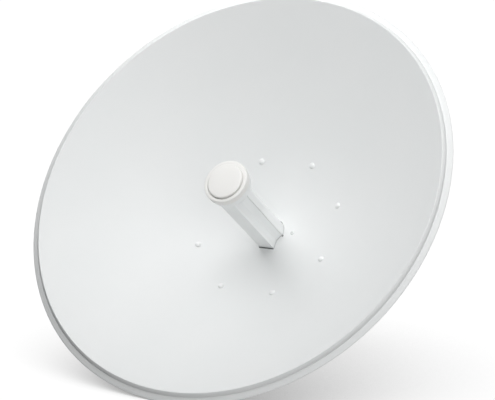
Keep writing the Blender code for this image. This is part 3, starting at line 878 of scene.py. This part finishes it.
# %% Port cover, with finger ridges
lid = rounded(33.4, 3.4, 1.2, 4, (0, bottom + 1.5))
cover = prism("port_lid", lid, HOUSING_FRONT - 25.7, HOUSING_FRONT - 8.3)
for i in range(6):
    z = HOUSING_FRONT - 13 - 1.8 * i
    carve(cover, prism("ridge_tool", rounded(20, 1.2, 0.5, 3, (0, bottom - 0.3)), z - 0.5, z + 0.5))
soften(cover, 0.2, 2, 40)
settle(cover, DISH)
dress(cover, plastic.material, "white_plastic", "port_cover")

# %% [markdown]
# ## Sheet-metal brackets
# The yoke, the pole bracket and the clamp are cut and folded from 3 mm plate, and the CAD shapes
# already have every hole and slot. A copy is enough: its loose triangles are merged into whole faces,
# the folds get their bend radius, and every cut edge is broken a little so that it catches light.

# %% A copy of a CAD part, ready for bevels
def from_cad(name, node):
    """The CAD part's shape as a new object, its triangles merged into whole faces."""
    piece = bpy.data.objects.new(name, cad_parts[node].data.copy())
    bpy.context.scene.collection.objects.link(piece)
    edit(piece)
    bpy.ops.mesh.select_all(action="SELECT")
    bpy.ops.mesh.remove_doubles(threshold=1e-6)
    bpy.ops.mesh.select_all(action="SELECT")
    bpy.ops.mesh.dissolve_limited(angle_limit=math.radians(0.5))
    done()
    return piece


def near(value, wanted):
    return abs(value - wanted) < 0.1


def fold(piece, radius, test, axes=Matrix.Identity(4)):
    """Round the edges that a test picks, by both ends in millimetres on the given axes."""
    home = axes.inverted()
    edit(piece, "EDGE")
    found = select_where(piece, "edges", lambda e: all(test(home @ v.co / MM) for v in e.verts))
    if found:
        bpy.ops.mesh.bevel(offset=radius * MM, segments=5, affect="EDGES", clamp_overlap=True)
    done()
    return found


# %% Yoke
YOKE_X = 42.0
YOKE_FRONT = -22.3
STEEL = 3.0
FOLD_R = 4.0
INNER_FOLD_R = 1.2
EDGE_BREAK = 0.35
SIDES = (("right", 1), ("left", -1))
for side, sign in SIDES:
    yoke = from_cad(f"yoke_plate_{side}", f"yoke_{side}")
    outer = fold(yoke, FOLD_R, lambda p: near(sign * p.x, YOKE_X) and near(p.z, YOKE_FRONT), DISH)
    inner = fold(
        yoke, INNER_FOLD_R,
        lambda p: near(sign * p.x, YOKE_X + STEEL) and near(p.z, YOKE_FRONT - STEEL), DISH,
    )
    print("folds found:", outer, inner)
    soften(yoke, EDGE_BREAK, 2, 40)
    dress(yoke, zinc.material, "zinc_steel", f"yoke_{side}")

# %% Pole bracket and clamp
WEB_H = 60.0
CLAMP_Y = 79.4
for node, face_y in (("pole_bracket", -STEEL), ("pole_clamp", CLAMP_Y + STEEL)):
    bracket = from_cad(f"{node}_plate", node)
    print("folds found:", fold(bracket, FOLD_R, lambda p: near(p.y, face_y) and near(abs(p.z), WEB_H)))
    soften(bracket, EDGE_BREAK, 2, 40)
    dress(bracket, zinc.material, "zinc_steel", node)

# %% [markdown]
# ## Weld beads
# The cheeks are welded to the bracket's web. A bead is a row of overlapping drops, each a squashed
# ball. One is shaped, and an Array repeats it along the joint.

# %% Beads along the cheeks
CHEEK_X = 45.3
DROP_R = 1.9
DROPS = 48
DROP_APART = 1.95
DROP_OUT = STEEL + 0.4
DROPS_LOW = -50
for side, sign in SIDES:
    bpy.ops.object.select_all(action="DESELECT")
    bpy.ops.mesh.primitive_uv_sphere_add(segments=12, ring_count=8, radius=DROP_R * MM)
    weld = bpy.context.object
    weld.name = f"weld_bead_{side}"
    edit(weld)
    bpy.ops.mesh.select_all(action="SELECT")
    bpy.ops.transform.resize(value=(1.0, 1.0, 0.8))
    done()
    settle(weld, Matrix.Translation(Vector((sign * (CHEEK_X + DROP_OUT), -DROP_OUT, DROPS_LOW)) * MM))
    modify(
        weld, "ARRAY", count=DROPS, use_relative_offset=False, use_constant_offset=True,
        constant_offset_displace=(0, 0, DROP_APART * MM),
    )
    smooth(weld, 60)
    dress(weld, zinc.material, "zinc_steel")

# %% [markdown]
# ## Bolts and nuts
# A thread is a notch that climbs a helix. One pitch of it is drawn and the Screw modifier sweeps it up
# the bolt. At both ends the ridge fades into the core, as a rolled thread does. Heads are turned, and
# six flats are cut on them.

# %% Threads
def joined(first, *others):
    pick(first, *others)
    bpy.ops.object.join()
    return first


def fade_ends(ridge, root, pitch, low, top):
    """Draw both ends of a ridge down into the core."""
    edit(ridge)
    mesh = bmesh.from_edit_mesh(ridge.data)
    for v in mesh.verts:
        z = v.co.z / MM
        share = min(1.0, (z - low) / (1.2 * pitch), (top + pitch - z) / (1.2 * pitch))
        reach = math.hypot(v.co.x, v.co.y)
        wanted = root * MM + (reach - root * MM) * max(share, 0.0)
        v.co.x *= wanted / reach
        v.co.y *= wanted / reach
    bmesh.update_edit_mesh(ridge.data)
    bpy.ops.mesh.select_all(action="SELECT")
    bpy.ops.mesh.normals_make_consistent(inside=False)
    done()


def thread(name, radius, pitch, low, high):
    """A helical ridge from low to high, with a core inside it."""
    root = radius - 0.6 * pitch
    ridge = drawn(name, [(root, 0, low), (radius, 0, low + pitch / 2), (root, 0, low + pitch)])
    done()
    turns = int((high - low) / pitch) - 1
    modify(
        ridge, "SCREW", angle=math.tau, screw_offset=pitch * MM, iterations=turns, steps=18,
        render_steps=18, use_merge_vertices=True, merge_threshold=0.01 * MM,
    )
    fade_ends(ridge, root, pitch, low, low + turns * pitch)
    core = turned(name + "_core", [
        (0, low - 0.5), (root + 0.05, low - 0.5), (root + 0.05, high - 0.9), (root - 0.6, high), (0, high),
    ], steps=24)
    return joined(ridge, core)


# %% Flanged screws
def hexed(piece, corner, low, high):
    """Cut six flats on a turned head between two heights."""
    flats = prism("hex_core", arc((0, 0), corner, 0, 300, 5), low, high)
    outside = turned("hex_ring", [(0, low), (corner + 8, low), (corner + 8, high), (0, high)], steps=48)
    return carve(piece, carve(outside, flats))


def flange_screw(name, shank, corner, head, flange, length, pitch):
    """A flanged hex screw: its seat at zero, shank up, head below, as in the CAD."""
    top = -1.5 - head
    body = turned(name, [
        (0, 0), (flange, 0), (flange, -0.7), (flange - 0.6, -1.25), (corner + 0.3, -1.8), (corner, -2.0),
        (corner, top + 0.9), (corner - 0.9, top), (0, top),
    ], steps=60)
    hexed(body, corner, top - 1, -1.9)
    smooth(body, 30)
    shaft = thread(name + "_shaft", shank, pitch, 0.0, length)
    smooth(shaft, 70)
    return joined(body, shaft)


# %% Nuts and carriage bolts
def flange_nut(name, bore, corner, height, flange):
    """A flanged hex nut standing on zero."""
    body = turned(name, [
        (bore, 0.3), (bore + 0.4, 0), (flange, 0), (flange, 0.7), (flange - 0.6, 1.3), (corner + 0.3, 1.8),
        (corner, 2.0), (corner, height - 0.8), (corner - 0.9, height), (bore + 0.8, height),
        (bore, height - 0.8),
    ], steps=60)
    hexed(body, corner, 1.9, height + 1)
    return smooth(body, 30)


def carriage_bolt(name, shank, head, length, pitch):
    """A domed head, a square neck below it and a threaded shank."""
    angles = [math.radians(a) for a in range(0, 91, 9)]
    top = [(head * math.sin(a), -0.9 - 3.4 * math.cos(a)) for a in angles]
    body = turned(name, top + [(head, -0.3), (head - 0.3, 0), (0, 0)], steps=48)
    smooth(body, 40)
    square = prism(name + "_neck", [(3.9, 3.9), (-3.9, 3.9), (-3.9, -3.9), (3.9, -3.9)], -0.2, 0.6)
    shaft = thread(name + "_shaft", shank, pitch, 0.6, length)
    smooth(shaft, 70)
    return joined(body, square, shaft)


# %% Yoke screws
PLAY = 0.3
screw_seat = YOKE_FRONT - STEEL - PLAY
pattern = flange_screw("screw_pattern", 3.0, 5.0, 5.0, 7.0, 26.0, 1.0)
for i, (x, y) in enumerate(YOKE_SCREWS, 1):
    screw = copy_of(pattern, f"flange_screw_{i}")
    spin_by = Matrix.Rotation(math.radians(17 * i), 4, "Z")
    settle(screw, DISH @ Matrix.Translation(Vector((x, y, screw_seat)) * MM) @ spin_by)
    dress(screw, zinc.material, "zinc_steel", f"yoke_screw_{i}")
discard(pattern)

# %% Pivot and lock bolts with their nuts
bolt_pattern = flange_screw("bolt_pattern", 4.0, 7.5, 5.5, 9.5, 16.0, 1.25)
nut_pattern = flange_nut("nut_pattern", 4.0, 7.0, 6.5, 8.5)
LOCK_REACH = 35.0
aim_up = math.radians(ELEVATION)
lock = PIVOT + Vector((0, -math.cos(aim_up), math.sin(aim_up))) * LOCK_REACH * MM
for name, place in (("pivot", PIVOT), ("lock", lock)):
    for side, sign in SIDES:
        inward = Matrix.Rotation(math.radians(-90 * sign), 4, "Y")
        bolt = copy_of(bolt_pattern, f"{name}_flange_bolt_{side}")
        head = Matrix.Translation(place + Vector((sign * (CHEEK_X + STEEL + PLAY), 0, 0)) * MM)
        settle(bolt, head @ inward @ Matrix.Rotation(0.4 * sign + len(name), 4, "Z"))
        dress(bolt, zinc.material, "zinc_steel", f"{name}_bolt_{side}")
        nut = copy_of(nut_pattern, f"{name}_flange_nut_{side}")
        inside = Matrix.Translation(place + Vector((sign * (YOKE_X - PLAY), 0, 0)) * MM)
        settle(nut, inside @ inward @ Matrix.Rotation(0.2 * sign, 4, "Z"))
        dress(nut, zinc.material, "zinc_steel", f"{name}_nut_{side}")
discard(bolt_pattern, nut_pattern)

# %% Clamp bolts
along_pole = Matrix.Rotation(math.radians(-90), 4, "X")
bolt_pattern = carriage_bolt("carriage_pattern", 4.0, 9.5, 120.0, 1.25)
nut_pattern = flange_nut("nut_pattern", 4.0, 7.5, 8.0, 9.0)
for i, (x, z) in enumerate([(59, 38), (-59, 38), (59, -38), (-59, -38)], 1):
    bolt = copy_of(bolt_pattern, f"carriage_bolt_{i}")
    settle(bolt, Matrix.Translation(Vector((x, -STEEL - PLAY, z)) * MM) @ along_pole)
    dress(bolt, zinc.material, "zinc_steel", f"clamp_bolt_{i}")
    nut = copy_of(nut_pattern, f"carriage_nut_{i}")
    behind_clamp = Matrix.Translation(Vector((x, CLAMP_Y + STEEL + PLAY, z)) * MM)
    settle(nut, behind_clamp @ along_pole @ Matrix.Rotation(0.3 * i, 4, "Z"))
    dress(nut, zinc.material, "zinc_steel", f"clamp_nut_{i}")
discard(bolt_pattern, nut_pattern)

# %% [markdown]
# ## The feed's socket
# The CAD shape of the socket is right as it is. Only its finish is missing. It is given a near-black
# colour, a painted shade, so that seen through the narrow slit round the feed it reads as an almost black
# gap.

# %% Socket finish
slit_shade_plastic = Finish("slit_shade_plastic", Specular_IOR_Level=0.4)
grain = slit_shade_plastic.noise(1400.0)
cloud = slit_shade_plastic.noise(25.0)
# painted shade: the socket is near black so that the slit round the feed reads dark
slit_shade_plastic.set("Base Color", slit_shade_plastic.tint(cloud, (0.045, 0.047, 0.05), (0.06, 0.062, 0.065)))
slit_shade_plastic.set("Roughness", 0.5 + (grain - 0.5) * 0.15)
slit_shade_plastic.relief(grain, 0.12, 0.00005)
socket_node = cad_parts["feed_socket"]
socket_node.data.materials.clear()
socket_node.data.materials.append(slit_shade_plastic.material)
print("socket: dark plastic")

# %% [markdown]
# ## Paper-white floor
# The camera sees a white floor that is darker only where the dish keeps the room's light off it, which
# is what an Ambient Occlusion node measures. To the light that bounces, the same floor is a dim glow,
# because a real white floor this close would wash out the shading in the bowl. It is dimmest at the
# dish's lower left, where the line along the rim is darkest, and brightest behind the dish, where it
# lights the bracket from below. The floor isn't searched for as a lamp, which would only make the
# picture grainy.

# %% The floor as the camera sees it
SHADOW_REACH = 0.5
SHADOW_DEPTH = 0.85
floor_paint = Finish("floor_white", Roughness=0.9, Specular_IOR_Level=0.0)
floor_paint.set("Base Color", (0.0, 0.0, 0.0))
openness = floor_paint.node(
    "ShaderNodeAmbientOcclusion", {"samples": 16}, {"Distance": SHADOW_REACH}, out=1,
)
shut = 1.0 - openness.between(-0.05, 0.95)
floor_paint.set("Emission Color", (1.0 - shut.maths("POWER", shut, 1.5) * SHADOW_DEPTH) * PAPER)
floor_paint.set("Emission Strength", 1.0)
paint = Signal(floor_paint, floor_paint.shader.outputs[0])
print("floor, seen:", len(floor_paint.tree.nodes), "nodes")

# %% The floor as a bounce of light
SHADE = (-0.55, -0.42, 0.0)
SHADE_RANGE = (0.15, 0.65)
BACK_RANGE = (-0.05, 0.45)
SHADE_GLOW = (0.04, 0.04, 0.04)
FRONT_GLOW = (0.45, 0.45, 0.45)
BACK_GLOW = (0.95, 0.95, 0.95)
along = floor_paint.node("ShaderNodeSeparateXYZ", None, {0: floor_paint.where}, out=1)
glow = floor_paint.tint(along.between(*BACK_RANGE), FRONT_GLOW, BACK_GLOW)
off_shade = floor_paint.node(
    "ShaderNodeVectorMath", {"operation": "DISTANCE"}, {0: floor_paint.where, 1: SHADE}, out=1,
)
glow = floor_paint.tint(off_shade.between(*SHADE_RANGE), SHADE_GLOW, glow)
bounce = floor_paint.node("ShaderNodeEmission", None, {"Color": glow, "Strength": 1.0})
by_camera = floor_paint.node("ShaderNodeLightPath")
surface = floor_paint.node("ShaderNodeMixShader", None, {0: by_camera, 1: bounce, 2: paint})
floor_paint.fill(floor_paint.tree.nodes["Material Output"].inputs["Surface"], surface)
floor_paint.material.cycles.emission_sampling = "NONE"
floor.data.materials.append(floor_paint.material)
print("floor:", len(floor_paint.tree.nodes), "nodes")
